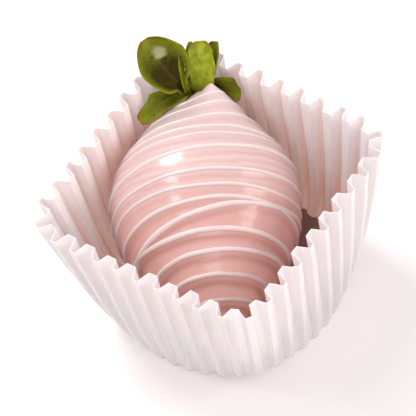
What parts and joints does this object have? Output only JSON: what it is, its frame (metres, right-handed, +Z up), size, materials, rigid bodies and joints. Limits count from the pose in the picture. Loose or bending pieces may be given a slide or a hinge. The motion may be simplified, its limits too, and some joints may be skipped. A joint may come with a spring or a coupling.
{
  "type": "chocolate coated strawberry",
  "caption": "Whole strawberry with its leaves, dipped in a pink coat, striped with a white drizzle and laid on its side in a fluted white paper case.",
  "frame": {"origin": "centre of the underside of the paper case's floor", "axes": "+Z up out of the case, X and Y along the sides of the case's squared-up rim, the berry's tip towards +X and -Y"},
  "size_m": [0.0562, 0.0554, 0.0394],
  "materials": {
    "case_paper": "matte, slightly translucent, pressed into sharp flutes",
    "pink_coat": "smooth set confectionery coat with a soft gloss",
    "white_drizzle": "raised set drizzle with a soft gloss",
    "leaf_green": "fresh sepals, matte with a faint sheen"
  },
  "bodies": {
    "root": {"paper_case": "case_paper", "coated_strawberry": "pink_coat", "leaf_crown": "leaf_green"}
  },
  "joints": []
}
